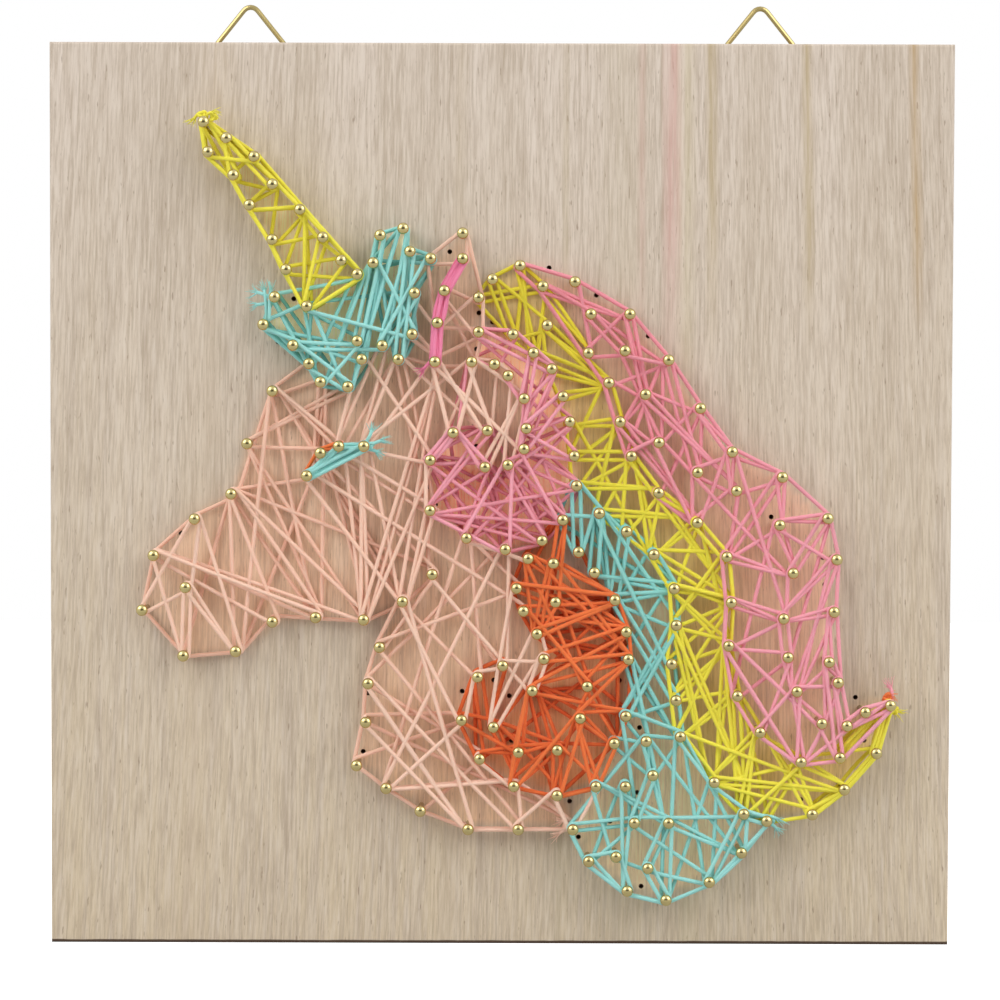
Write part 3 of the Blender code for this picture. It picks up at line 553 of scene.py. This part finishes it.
def wood_material():
    """Pale board: fine upright grain, soft streaks, dark pores, and painted light and shade under
    the yarn.
    """
    m = Nodes("mat_pale_wood")
    place = m.add("ShaderNodeTexCoord").outputs["Object"]
    parts = m.add("ShaderNodeSeparateXYZ")
    m.link(place, parts.inputs["Vector"])
    x, y, z = (parts.outputs[k] for k in "XYZ")
    across, drift = follow_grain(m, place, x, z)
    joined = m.add("ShaderNodeCombineXYZ")
    for key, value in zip("XYZ", (across, y, z)):
        m.link(value, joined.inputs[key])
    grain_place = joined.outputs["Vector"]
    broad = m.noise(m.mapping(grain_place, BROAD_STRETCH), 1.0, 3.0)
    fine = m.noise(m.mapping(grain_place, FINE_STRETCH), 1.0, 5.0, 0.7)
    hair = m.noise(m.mapping(grain_place, HAIR_STRETCH), 1.0, 4.0, 0.7)
    pores = m.noise(m.mapping(grain_place, PORE_STRETCH), 1.0, 2.0, 0.5)
    light, mid, dark = linear(WOOD_LIGHT), linear(WOOD_MID), linear(WOOD_DARK)
    colour = m.ramp(broad, [(0.34, mid), (0.54, light), (0.74, mid)])
    low_down = m.ramp(z, [(0.02, 0.85), (0.19, 0.0)])
    colour = m.mix(low_down, colour, linear(WOOD_WARM))
    colour = m.mix(m.ramp(fine, [(0.40, 0.55), (0.60, 0.0)]), colour, mid)
    colour = m.mix(m.ramp(fine, [(0.30, 0.50), (0.46, 0.0)]), colour, dark)
    colour = m.mix(m.ramp(hair, [(0.34, 0.60), (0.54, 0.0)]), colour, dark)
    colour = m.mix(m.ramp(hair, [(0.52, 0.0), (0.70, 0.45)]), colour, linear(WOOD_HAIR))
    colour = m.mix(m.ramp(pores, [(0.25, 0.60), (0.34, 0.0)]), colour, linear(WOOD_PORE))
    colour = lay_streaks(m, colour, across, drift, z, fine)
    # painted light and shade under the yarn: tinted bounce light, shade, and lightening
    painted_light = m.add("ShaderNodeAttribute", attribute_name="yarn_painted_light").outputs["Color"]
    colour = m.mix(1.0, colour, painted_light, "MULTIPLY")
    # the lowest edge of the front is painted darker, to about 0.7 mm up
    low_edge = m.math("MULTIPLY_ADD", m.noise(place, 220.0, 2.0), 0.05,
                      m.math("MULTIPLY", z, 200.0))
    edge_dark = m.ramp(low_edge, [(0.155, 0.95), (0.185, 0.0)])
    colour = m.mix(edge_dark, colour, linear(WOOD_LOW_EDGE_DARK))
    m.link(colour, m.shader.inputs["Base Color"])
    m.link(m.math("MULTIPLY_ADD", fine, 0.2, 0.5), m.shader.inputs["Roughness"])
    m.shader.inputs["Specular IOR Level"].default_value = 0.35
    relief = m.math("MULTIPLY_ADD", hair, 0.5, m.math("MULTIPLY_ADD", pores, 0.4, fine))
    m.bump(relief, 0.35, 0.00018)
    return m.material


def hole_material():
    """The wood inside a drilled hole, darker than the face, with a mottle."""
    m = Nodes("mat_drilled_wood")
    place = m.add("ShaderNodeTexCoord").outputs["Object"]
    hole_mottle = m.noise(m.mapping(place, MARK_STRETCH), 1.0, 3.0)
    m.link(m.mix(hole_mottle, linear(HOLE_DARK), linear(HOLE_LIGHT)), m.shader.inputs["Base Color"])
    m.shader.inputs["Roughness"].default_value = 0.9
    m.bump(hole_mottle, 0.4, 0.0002)
    return m.material


def floor_material():
    """A plain pale sweep that shows as pure white and throws only a little light on the panel."""
    m = Nodes("mat_floor")
    seen = m.add("ShaderNodeLightPath").outputs["Is Camera Ray"]
    m.shader.inputs["Base Color"].default_value = FLOOR_GREY
    m.shader.inputs["Roughness"].default_value = 0.9
    m.shader.inputs["Emission Color"].default_value = WHITE
    m.link(seen, m.shader.inputs["Emission Strength"])
    return m.material


# ---- mesh helpers ----
def new_piece(name, verts, faces, material, smooth=True):
    """A mesh object in metres from places in millimetres."""
    mesh = bpy.data.meshes.new(name)
    mesh.from_pydata((np.asarray(verts, dtype=float) * MM).tolist(), [], faces)
    mesh.materials.append(material)
    mesh.polygons.foreach_set("use_smooth", [smooth] * len(mesh.polygons))
    mesh.update()
    return add_object(name, mesh)


def add_object(name, data):
    """A new object in the scene."""
    thing = bpy.data.objects.new(name, data)
    bpy.context.scene.collection.objects.link(thing)
    return thing


def on_board(x, z, height):
    """A place in the CAD frame, in millimetres, from a place on the board's front."""
    return (x - BOARD / 2, FRONT - height, z)


def level_ring(x, z, radius, height, sides):
    """The corners of a ring about a place on the board, all at one height above its front."""
    turns = [2 * math.pi * k / sides for k in range(sides)]
    return [on_board(x + radius * math.cos(turn), z + radius * math.sin(turn), height)
            for turn in turns]


# ---- the board ----
def ruled_line():
    """Places along one side of the board: close together at the eased edges."""
    inner = np.arange(CELL, BOARD - CELL / 2, CELL)
    near = np.array(EDGE_LINES)
    return np.concatenate((near, inner, BOARD - near[::-1]))


def edge_drop(distance):
    """How far the eased edge falls back from the face, at a distance in from the side."""
    inside = max(0.0, EDGE_EASE - distance)
    return EDGE_EASE - math.sqrt(max(0.0, EDGE_EASE ** 2 - inside ** 2))


def make_board(material):
    """The slab, with eased and slightly worn edges."""
    line = ruled_line()
    count = len(line)
    rng = np.random.default_rng(SEED)
    verts, faces = [], []
    for face, sign in ((FRONT, 1.0), (BACK, -1.0)):
        for z in line:
            for x in line:
                edge = min(x, z, BOARD - x, BOARD - z)
                worn = rng.uniform(0.0, EDGE_WEAR) if 0.0 < edge <= EDGE_EASE else 0.0
                verts.append((x - BOARD / 2, face + sign * (edge_drop(edge) + worn), z))
    layer = count * count
    for j in range(count - 1):
        for i in range(count - 1):
            a = j * count + i
            faces.append((a, a + 1, a + count + 1, a + count))
            b = a + layer
            faces.append((b, b + count, b + count + 1, b + 1))
    for i in range(count - 1):
        rows = ((i, i + 1), (layer - count + i + 1, layer - count + i),
                ((i + 1) * count, i * count), (i * count + count - 1, (i + 1) * count + count - 1))
        for a, b in rows:
            faces.append((b, a, a + layer, b + layer))
    return new_piece("board_panel", verts, faces, material, smooth=False)


def hole_cutter(material):
    """The drill's shape at every pilot hole, as one mesh."""
    verts, faces = [], []
    for x, z in read_places(PILOT_HOLES):
        base = len(verts)
        verts += level_ring(x, z, HOLE_R, HOLE_OVER, HOLE_SIDES)
        verts += level_ring(x, z, HOLE_R * 0.9, -HOLE_DEEP, HOLE_SIDES)
        tip = len(verts)
        verts.append(on_board(x, z, -HOLE_DEEP - HOLE_TIP))
        for k in range(HOLE_SIDES):
            n = (k + 1) % HOLE_SIDES
            faces.append((base + k, base + HOLE_SIDES + k, base + HOLE_SIDES + n, base + n))
            faces.append((base + HOLE_SIDES + k, tip, base + HOLE_SIDES + n))
        faces.append(tuple(base + k for k in range(HOLE_SIDES)))
    return new_piece("hole_cutter", verts, faces, material, smooth=False)


def drill(board, material):
    """Cuts the pilot holes into the board's front."""
    cutter = hole_cutter(material)
    cut = board.modifiers.new("holes", "BOOLEAN")
    cut.operation = "DIFFERENCE"
    cut.object = cutter
    cut.solver = "EXACT"
    cut.material_mode = "TRANSFER"
    graph = bpy.context.evaluated_depsgraph_get()
    result = bpy.data.meshes.new_from_object(board.evaluated_get(graph))
    board.modifiers.clear()
    board.data = result
    bpy.data.objects.remove(cutter)


def inside_and_gap(places, corners):
    """Which places are inside an outline, and how far each is from it."""
    inside = np.zeros(len(places), dtype=bool)
    gap = np.full(len(places), 1e9)
    for a, b in zip(corners, np.roll(corners, -1, axis=0)):
        crosses = (a[1] > places[:, 1]) != (b[1] > places[:, 1])
        rise = b[1] - a[1]
        at = a[0] + (places[:, 1] - a[1]) * (b[0] - a[0]) / (rise if rise else 1e-9)
        inside ^= crosses & (places[:, 0] < at)
        t = np.clip(((places - a) @ (b - a)) / ((b - a) @ (b - a)), 0.0, 1.0)
        gap = np.minimum(gap, np.linalg.norm(places - (a + t[:, None] * (b - a)), axis=1))
    return inside, gap


def paint_yarn_light(board):
    """Stores the painted light and shade under the yarn: what each place on the front is multiplied
    by, from the table of these multipliers above.
    """
    mesh = board.data
    places = np.empty(len(mesh.vertices) * 3)
    mesh.vertices.foreach_get("co", places)
    places = places.reshape(-1, 3) / MM
    flat = places[:, [0, 2]] + (BOARD / 2, 0.0)
    front = places[:, 1] < FRONT + 1.0
    weight = np.full(len(flat), 1e-6)
    tint = np.full((len(flat), 3), 1e-6)
    cover = np.zeros(len(flat))
    for area, outline in OUTLINES.items():
        corners = np.array([nail_place(n) for n in outline.split()])
        inside, gap = inside_and_gap(flat, corners)
        reach = np.where(inside, gap, -gap)
        share = np.clip((reach + SHADE_OUTSIDE) / (SHADE_OUTSIDE + SHADE_INSIDE), 0.0, 1.0)
        share = share * share * (3 - 2 * share)
        weight += share
        tint += share[:, None] * np.array(YARN_PAINTED_LIGHT[area])
        cover = np.maximum(cover, share)
    painted_light = np.ones((len(flat), 4))
    shade = tint / weight[:, None]
    painted_light[:, :3] = 1.0 + (shade - 1.0) * (cover * front)[:, None]
    attribute = mesh.attributes.new("yarn_painted_light", "FLOAT_COLOR", "POINT")
    attribute.data.foreach_set("color", painted_light.ravel())


# ---- the nails ----
def read_places(text):
    """The (x, z) places in a text such as "35,181.5 40,178"."""
    return [tuple(float(number) for number in item.split(",")) for item in text.split()]


def nail_profile():
    """Radius and height above the board of a domed nail, from the top of its head to its point."""
    under = PROUD - HEAD_HEIGHT
    rows = []
    for k in range(DOME_ROWS + 1):
        turn = math.radians(90.0 * k / DOME_ROWS)
        rows.append((HEAD_R * math.sin(turn),
                     under + HEAD_RIM + (HEAD_HEIGHT - HEAD_RIM) * math.cos(turn)))
    rows.append((HEAD_R * 0.98, under + 0.03))
    rows.append((HEAD_R * 0.92, under))
    rows.append((SHANK_R + 0.06, under - 0.04))
    rows.append((SHANK_R, under - 0.25))
    rows.append((SHANK_R, POINT - DEEP))
    rows.append((0.0, -DEEP))
    return rows


def make_nails(letter, material):
    """All the nails of one area as one piece."""
    rows = nail_profile()
    sides = HEAD_SEGMENTS
    verts, faces = [], []
    for x, z in read_places(NAILS[letter]):
        base = len(verts)
        verts.append(on_board(x, z, rows[0][1]))
        for radius, height in rows[1:-1]:
            verts += level_ring(x, z, radius, height, sides)
        tip = len(verts)
        verts.append(on_board(x, z, rows[-1][1]))
        last = tip - sides
        for k in range(sides):
            n = (k + 1) % sides
            faces.append((base, base + 1 + k, base + 1 + n))
            for row in range(len(rows) - 3):
                a = base + 1 + row * sides
                b = a + sides
                faces.append((a + k, b + k, b + n, a + n))
            faces.append((last + k, tip, last + n))
    return new_piece("nails_" + NAIL_PIECES[letter], verts, faces, material)


# ---- the yarn's way ----
def nail_place(name):
    """Where a nail stands on the board, by its name."""
    return np.array(read_places(NAILS[name[0]])[int(name[1:]) - 1])


def read_strands(text):
    """The strands as (nail, nail) pairs, in order."""
    pairs = []
    for item in text.split():
        ends, _, times = item.partition("*")
        a, b = ends.split("-")
        pairs += [(a, b)] * int(times or 1)
    return pairs


def wind(pairs):
    """Joins strands end to end into runs, as one yarn is wound on from nail to nail."""
    unused = list(range(len(pairs)))
    runs = []
    while unused:
        run = list(pairs[unused.pop(0)])
        while True:
            choices = [k for k in unused if run[-1] in pairs[k]]
            fresh = [k for k in choices if run[-2] not in pairs[k]] or choices
            if not fresh:
                break
            a, b = pairs[fresh[0]]
            run.append(b if a == run[-1] else a)
            unused.remove(fresh[0])
        runs.append(run)
    return runs


def turn_signs(nails):
    """The side on which the yarn goes round each nail of a run. It keeps to one side in a row."""
    signs = []
    for before, at, after in zip(nails, nails[1:], nails[2:]):
        a, b = at - before, after - at
        bend = (a[0] * b[1] - a[1] * b[0]) / (np.linalg.norm(a) * np.linalg.norm(b))
        if signs and abs(bend) < ALMOST_STRAIGHT and a @ b > 0:
            signs.append(signs[-1])
        else:
            signs.append(1.0 if bend >= 0 else -1.0)
    signs = signs or [1.0]
    return [signs[0]] + signs + [signs[-1]]


def left_of(direction):
    """A direction turned a quarter to the left."""
    return np.array((-direction[1], direction[0]))


def swing(centre, place, angle):
    """A place turned about a centre by an angle in radians."""
    c, s = math.cos(angle), math.sin(angle)
    arm = place - centre
    return centre + np.array((c * arm[0] - s * arm[1], s * arm[0] + c * arm[1]))


def tangent(a, b, sign_a, sign_b, radius):
    """Where a straight strand leaves the circle about a and meets the one about b. A sign of +1
    keeps that nail on the strand's left."""
    along = b - a
    length = np.linalg.norm(along)
    along = along / length
    if sign_a != sign_b:
        lean = sign_a * math.asin(min(1.0, 2 * radius / length))
        along = swing(np.zeros(2), along, lean)
    side = left_of(along) * radius
    return a - sign_a * side, b - sign_b * side


def arc(centre, start, finish, sign):
    """Places on the way round a nail from start to finish."""
    first = math.atan2(*(start - centre)[::-1])
    last = math.atan2(*(finish - centre)[::-1])
    sweep = ((last - first) * sign) % (2 * math.pi)
    if sweep > NO_TURN:
        return []
    steps = int(sweep / ARC_STEP)
    radius = np.linalg.norm(start - centre)
    return [centre + radius * np.array((math.cos(first + sign * sweep * k / (steps + 1)),
                                        math.sin(first + sign * sweep * k / (steps + 1))))
            for k in range(1, steps + 1)]


def straight(start, finish, low, high, rng):
    """Places along one strand, a little slack between its nails."""
    length = float(np.linalg.norm(finish - start))
    steps = max(2, int(length / RING_STEP))
    across = left_of((finish - start) / max(length, 1e-6))
    bow = rng.uniform(-MOST_BOW, MOST_BOW) * length
    dip = rng.uniform(0.0, MOST_DIP) * length
    rows = []
    for k in range(steps + 1):
        t = k / steps
        hump = 4 * t * (1 - t)
        x, z = start + (finish - start) * t + across * bow * hump
        rows.append((x, z, max(LOWEST, low + (high - low) * t - dip * hump)))
    return rows


def run_path(run, levels, rng):
    """The way of one run of yarn as (x, z, height) rows, wrapped round the nail at each end."""
    nails = [nail_place(n) for n in run]
    signs = turn_signs(nails)
    radius = WRAP_R + rng.uniform(0.0, WRAP_SPREAD)
    rows = []
    previous = None
    for k in range(len(nails) - 1):
        leave, meet = tangent(nails[k], nails[k + 1], signs[k], signs[k + 1], radius)
        bend = []
        if previous is None:
            previous = swing(nails[0], leave, -signs[0] * END_WRAP)
            bend = [previous]
        bend = bend + arc(nails[k], previous, leave, signs[k])
        rows += [(x, z, levels[k]) for x, z in bend]
        rows += straight(leave, meet, levels[k], levels[k + 1], rng)
        previous = meet
    end = swing(nails[-1], previous, signs[-1] * END_WRAP)
    rows += [(x, z, levels[-1]) for x, z in arc(nails[-1], previous, end, signs[-1]) + [end]]
    return rows


def smooth_rows(rows, steps=5):
    """A rounder way through a few given places."""
    points = np.array([rows[0]] + list(rows) + [rows[-1]], dtype=float)
    out = []
    for k in range(1, len(points) - 2):
        a, b, c, d = points[k - 1:k + 3]
        for t in np.linspace(0.0, 1.0, steps, endpoint=False):
            out.append(0.5 * (2 * b + (c - a) * t + (2 * a - 5 * b + 4 * c - d) * t ** 2
                              + (3 * b - a - 3 * c + d) * t ** 3))
    out.append(points[-2])
    return [tuple(p) for p in out]


def knot_rows(x, z, height, degrees):
    """A pulled-up overhand knot."""
    turn = math.radians(degrees)
    rows = []
    for k in range(KNOT_STEPS + 1):
        t = 2 * math.pi * k / KNOT_STEPS
        u = KNOT_LENGTH * (math.sin(t) + 2 * math.sin(2 * t))
        v = KNOT_WIDTH * (math.cos(t) - 2 * math.cos(2 * t))
        rows.append((x + u * math.cos(turn) - v * math.sin(turn),
                     z + u * math.sin(turn) + v * math.cos(turn),
                     height - KNOT_RISE * math.sin(3 * t)))
    return rows


# ---- the yarn itself ----
class Tubes:
    """Collects yarn tubes into one mesh, with the attributes that its material reads to paint shade
    on the lower strands and between the plies.
    """

    def __init__(self, low, high):
        self.low, self.high = low, high
        self.verts, self.faces = [], []
        self.lift, self.groove, self.uv = [], [], []
        self.count = 0

    def tube(self, rows, radius, around=AROUND, lobe=LOBE, taper=1.0):
        """A plied tube along (x, z, height) rows. Its rows of faces start on the board's side."""
        path = np.array([on_board(*row) for row in rows])
        gaps = np.linalg.norm(np.diff(path, axis=0), axis=1)
        path = path[np.concatenate(([True], gaps > 1e-4))]
        if len(path) < 3:
            return
        along = np.gradient(path, axis=0)
        along /= np.linalg.norm(along, axis=1)[:, None]
        side = np.cross(along, np.array((0.0, -1.0, 0.0)))
        side /= np.maximum(np.linalg.norm(side, axis=1), 1e-6)[:, None]
        up = np.cross(side, along)
        travel = np.concatenate(([0.0], np.cumsum(np.linalg.norm(np.diff(path, axis=0), axis=1))))
        turn = np.linspace(0.0, 2 * math.pi, around, endpoint=False) - math.pi / 2
        phase = PLIES * (turn[None, :] - 2 * math.pi * travel[:, None] / TWIST_PITCH)
        size = radius * (1 + lobe * np.cos(phase))
        size = size * np.linspace(1.0, taper, len(path))[:, None]
        ring = (path[:, None, :] + size[:, :, None]
                * (np.cos(turn)[None, :, None] * side[:, None, :]
                   + np.sin(turn)[None, :, None] * up[:, None, :]))
        self.verts.append(ring.reshape(-1, 3))
        # painted shade: the material paints a strand darker the lower it lies
        height = FRONT - path[:, 1]
        share = np.clip((height - self.low) / max(self.high - self.low, 1e-6), 0.0, 1.0)
        self.lift.append(np.repeat(share, around))
        # painted shade in the grooves between the plies
        depth = 0.5 - 0.5 * np.cos(phase) if lobe else np.zeros(phase.shape)
        self.groove.append(depth.reshape(-1))
        self.add_faces(len(path), around)
        self.add_uv(travel, around)

    def add_faces(self, rings, around):
        """The tube's quads, and a cap at each end."""
        index = np.arange(rings * around).reshape(rings, around) + self.count
        nxt = np.roll(index, -1, axis=1)
        quads = np.stack((index[:-1], nxt[:-1], nxt[1:], index[1:]), axis=-1).reshape(-1, 4)
        self.faces += quads.tolist()
        self.faces += [tuple(index[0][::-1]), tuple(index[-1])]
        self.count += rings * around

    def add_uv(self, travel, around):
        """Round the tube in u, as a share of a turn, and along it in v, in millimetres."""
        u0 = np.tile(np.arange(around) / around, len(travel) - 1)
        u1 = u0 + 1.0 / around
        v0 = np.repeat(travel[:-1], around)
        v1 = np.repeat(travel[1:], around)
        self.uv.append(np.stack((u0, v0, u1, v0, u1, v1, u0, v1), axis=-1).reshape(-1, 2))
        self.uv.append(np.zeros((around * 2, 2)))

    def piece(self, name, material):
        """All the tubes as one object."""
        piece = new_piece(name, np.concatenate(self.verts), self.faces, material)
        mesh = piece.data
        for key, values in (("lift", self.lift), ("groove", self.groove)):
            layer = mesh.attributes.new(key, "FLOAT", "POINT")
            layer.data.foreach_set("value", np.concatenate(values))
        layer = mesh.uv_layers.new(name="UVMap")
        layer.data.foreach_set("uv", np.concatenate(self.uv).ravel())
        return piece


def scatter(rng, size):
    """A random step of up to size each way."""
    return np.array([rng.uniform(-size, size) for _ in range(3)])


def fray(tubes, rows, rng):
    """The fibres that spread out from a cut end."""
    end = np.array(rows[-1])
    way = end - np.array(rows[-2])
    way /= np.linalg.norm(way)
    for _ in range(FIBRES):
        aim = way + scatter(rng, FIBRE_SPREAD)
        aim /= np.linalg.norm(aim)
        curl = scatter(rng, FIBRE_CURL)
        length = FIBRE_REACH * rng.uniform(0.5, 1.0)
        start = end - way * 0.5 + scatter(rng, FIBRE_START)
        points = [start + aim * length * t + curl * t * t for t in (0.0, 0.25, 0.5, 0.75, 1.0)]
        points = [(x, z, max(0.3, h)) for x, z, h in points]
        tubes.tube(points, FIBRE_R, around=5, lobe=0.0, taper=0.4)


def lay_bundle(tubes, start, finish, strands, width, rng):
    """Strands side by side between two nails, as where the yarn went back and forth many times."""
    a, b = nail_place(start), nail_place(finish)
    side = left_of((b - a) / np.linalg.norm(b - a))
    for k in range(strands):
        shift = width * (k / max(strands - 1, 1) - 0.5)
        level = tubes.low + (tubes.high - tubes.low) * rng.uniform(0.35, 0.95)
        rows = straight(a + side * shift * 0.5, b + side * shift * rng.uniform(0.3, 0.9),
                        level, level + rng.uniform(-0.4, 0.4), rng)
        count = len(rows) - 1
        # the strands stand apart most at the middle of the band
        rows = [(x + side[0] * shift * 1.6 * (j / count) * (1 - j / count),
                 z + side[1] * shift * 1.6 * (j / count) * (1 - j / count), h)
                for j, (x, z, h) in enumerate(rows)]
        tubes.tube(rows, YARN_R)


def make_yarn(area, material):
    """All the yarn of one area, with its knots and its frayed ends."""
    rng = random.Random(area)
    low, high = HEIGHTS[area]
    runs = wind(read_strands(STRANDS[area]))
    total = sum(len(run) - 1 for run in runs)
    tubes = Tubes(low, high)
    done = 0
    for run in runs:
        levels = [low + (high - low) * (done + k) / max(total, 1) for k in range(len(run))]
        tubes.tube(run_path(run, levels, rng), YARN_R * rng.uniform(0.94, 1.06))
        done += len(run) - 1
    for owner, start, finish, strands, width in BUNDLES:
        if owner == area:
            lay_bundle(tubes, start, finish, strands, width, rng)
    for owner, rows in TAILS:
        if owner == area:
            way = smooth_rows(rows)
            way = way[:1 + 2 * len(way) // 3]
            tubes.tube(way, YARN_R * 0.9, taper=0.9)
            fray(tubes, way, rng)
    for owner, *knot in KNOTS:
        if owner == area:
            tubes.tube(knot_rows(*knot), YARN_R * 0.8)
    return tubes.piece(area + "_strands", material)


# ---- camera and light ----
def make_camera():
    """The camera, a little above the middle of the board and turned slightly in its own plane."""
    data = bpy.data.cameras.new("camera")
    data.lens = LENS
    data.clip_start = 0.01
    data.clip_end = 50.0
    camera = add_object("camera", data)
    camera.location = (CAMERA_AIM[0],
                       CAMERA_AIM[1] - CAMERA_DISTANCE * math.cos(CAMERA_ELEVATION),
                       CAMERA_AIM[2] + CAMERA_DISTANCE * math.sin(CAMERA_ELEVATION))
    camera.rotation_mode = "XYZ"
    camera.rotation_euler = (math.pi / 2 - CAMERA_ELEVATION, -CAMERA_ROLL, 0.0)
    bpy.context.scene.camera = camera


def soft_light(name, place, size, watts):
    """A soft box that faces the panel."""
    data = bpy.data.lights.new(name, "AREA")
    data.shape = "RECTANGLE"
    data.size, data.size_y = size
    data.energy = watts
    lamp = add_object(name, data)
    lamp.location = place
    way = np.array(place) - np.array(LIGHT_AIM)
    flat = math.hypot(way[0], way[1])
    lamp.rotation_euler = (math.atan2(flat, way[2]), 0.0, math.atan2(way[0], -way[1]))


def make_room():
    """White light from all round. It shows as white, and is dim in a cone in front of the panel,
    so that the domed nail heads have dark middles."""
    world = bpy.data.worlds.new("room")
    world.use_nodes = True
    bpy.context.scene.world = world
    tree = world.node_tree
    shade = tree.nodes["Background"]
    shade.inputs["Color"].default_value = WHITE
    rays = tree.nodes.new("ShaderNodeLightPath")
    place = tree.nodes.new("ShaderNodeTexCoord")
    parts = tree.nodes.new("ShaderNodeSeparateXYZ")
    room = tree.nodes.new("ShaderNodeMapRange")
    room.inputs["From Min"].default_value = CONE_CORE
    room.inputs["From Max"].default_value = CONE_EDGE
    room.inputs["To Min"].default_value = ROOM_DARK
    room.inputs["To Max"].default_value = ROOM_LIGHT
    seen = tree.nodes.new("ShaderNodeMath")
    seen.operation = "MAXIMUM"
    tree.links.new(place.outputs["Generated"], parts.inputs["Vector"])
    tree.links.new(parts.outputs["Y"], room.inputs["Value"])
    tree.links.new(room.outputs["Result"], seen.inputs[0])
    tree.links.new(rays.outputs["Is Camera Ray"], seen.inputs[1])
    tree.links.new(seen.outputs["Value"], shade.inputs["Strength"])
    bpy.context.scene.view_settings.view_transform = "Standard"


def make_floor():
    half = FLOOR_HALF
    corners = [(-half, -half), (half, -half), (half, half), (-half, half)]
    verts = [(x, y, -FLOOR_GAP) for x, y in corners]
    floor = new_piece("floor", verts, [(0, 1, 2, 3)], floor_material(), smooth=False)


# ---- the whole scene ----
def main():
    """Builds the panel round the CAD frame."""
    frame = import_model()
    nodes = frame["nodes"]

    make_camera()
    for light in SOFT_BOXES:
        soft_light(*light)
    make_room()
    make_floor()

    board = make_board(wood_material())
    drill(board, hole_material())

    for area in STRANDS:
        piece = make_yarn(area, yarn_material(YARN_SLOT[area]))
        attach(piece, "panel")
        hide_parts(CAD_YARN[area])

    paint_yarn_light(board)
    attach(board, "panel")
    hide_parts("board")

    brass = brass_material("mat_nail_brass", *NAIL_BRASS)
    for letter, area in NAIL_PIECES.items():
        nails = make_nails(letter, brass)
        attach(nails, "panel")
        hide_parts(*(n for n in nodes if n.startswith("nail_" + area + "_")))

    hanger = brass_material("mat_hanger_brass", *HANGER_BRASS)
    for name, node in nodes.items():
        if name.startswith("hanger_"):
            if not node.material_slots:
                node.data.materials.append(hanger)
            for material_slot in node.material_slots:
                material_slot.material = hanger


main()
